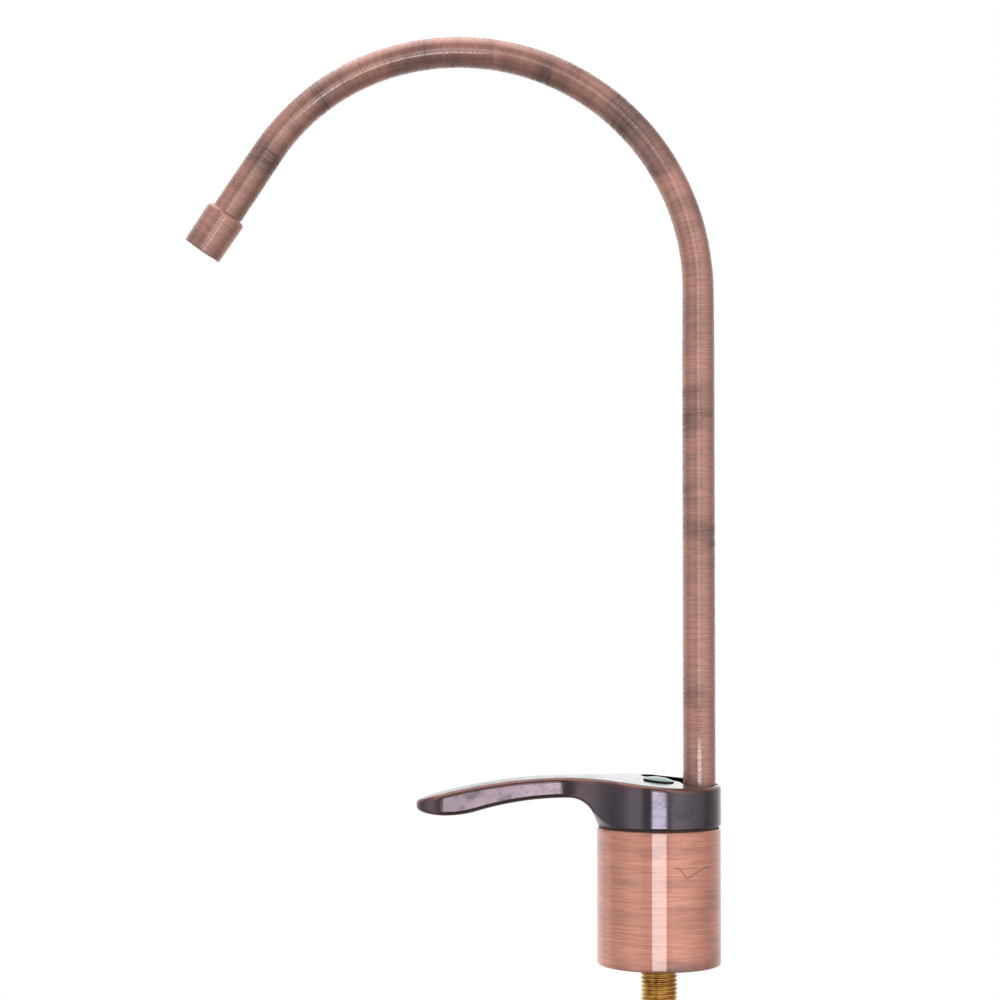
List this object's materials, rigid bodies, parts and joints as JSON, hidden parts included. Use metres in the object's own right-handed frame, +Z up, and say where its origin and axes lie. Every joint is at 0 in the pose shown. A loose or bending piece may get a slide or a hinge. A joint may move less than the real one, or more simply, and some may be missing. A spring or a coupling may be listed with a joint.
{
  "type": "drinking water filter tap",
  "caption": "Drinking water filter tap with a swivelling gooseneck spout, a quarter-turn lever on a round body and a threaded fixing shank.",
  "frame": {"origin": "centre of the body's underside, where it rests on the worktop round the fixing hole", "axes": "+Z up along the body, -X the way the closed lever and the outlet point, +Y to the side that the lever opens to"},
  "size_m": [0.1679, 0.0384, 0.3691],
  "materials": {
    "antique_copper": "brass with a brushed antique copper plating under clear lacquer",
    "dark_bronze": "cast brass with a polished dark bronze plating",
    "plain_brass": "turned, unplated",
    "zinc_plated_steel": "zinc plated",
    "stainless_steel": "bright stainless",
    "cap_grey": "pale grey-green, glossy",
    "black_rubber": "moulded black rubber",
    "ceramic_white": "lapped alumina",
    "dark_nylon": "dark brown nylon",
    "white_acetal": "moulded white acetal",
    "grey_acetal": "moulded grey acetal"
  },
  "bodies": {
    "base": {"body": "antique_copper", "base_gasket": "black_rubber", "threaded_shank": "plain_brass", "shank_seal": "black_rubber", "rubber_washer": "black_rubber", "backing_washer": "zinc_plated_steel", "lock_washer": "zinc_plated_steel", "mounting_nut": "plain_brass", "connector_body": "white_acetal", "connector_seal": "black_rubber", "connector_o_ring": "black_rubber", "connector_grab_ring": "stainless_steel", "cartridge_body": "plain_brass", "cartridge_o_ring": "black_rubber", "seat_seal": "black_rubber", "fixed_disc": "ceramic_white", "thrust_washer": "dark_nylon", "glide_plate": "dark_nylon"},
    "lever": {"lever": "dark_bronze", "lever_screw": "stainless_steel", "lever_cap": "cap_grey", "spindle": "plain_brass", "spindle_o_rings": "black_rubber", "spindle_clip": "stainless_steel", "moving_disc": "ceramic_white"},
    "spout": {"spout_tube": "antique_copper", "spout_spigot": "plain_brass", "spout_o_rings": "black_rubber", "spout_retaining_ring": "stainless_steel", "outlet_collar": "antique_copper", "outlet_seal": "black_rubber", "flow_straightener": "white_acetal", "outlet_screen": "stainless_steel"},
    "collet": {"connector_collet": "grey_acetal"}
  },
  "joints": [
    {"name": "lever_turn", "type": "hinge", "parent": "base", "child": "lever", "pos_m": [0, 0, 0.0425], "axis": [0, 0, 1], "range_deg": [-90, 0]},
    {"name": "spout_swivel", "type": "hinge", "parent": "base", "child": "spout", "pos_m": [0.0125, 0, 0.0424], "axis": [0, 0, 1], "continuous": true},
    {"name": "collet_release", "type": "slide", "parent": "base", "child": "collet", "axis": [0, 0, 1], "range_m": [0, 0.0012]}
  ]
}
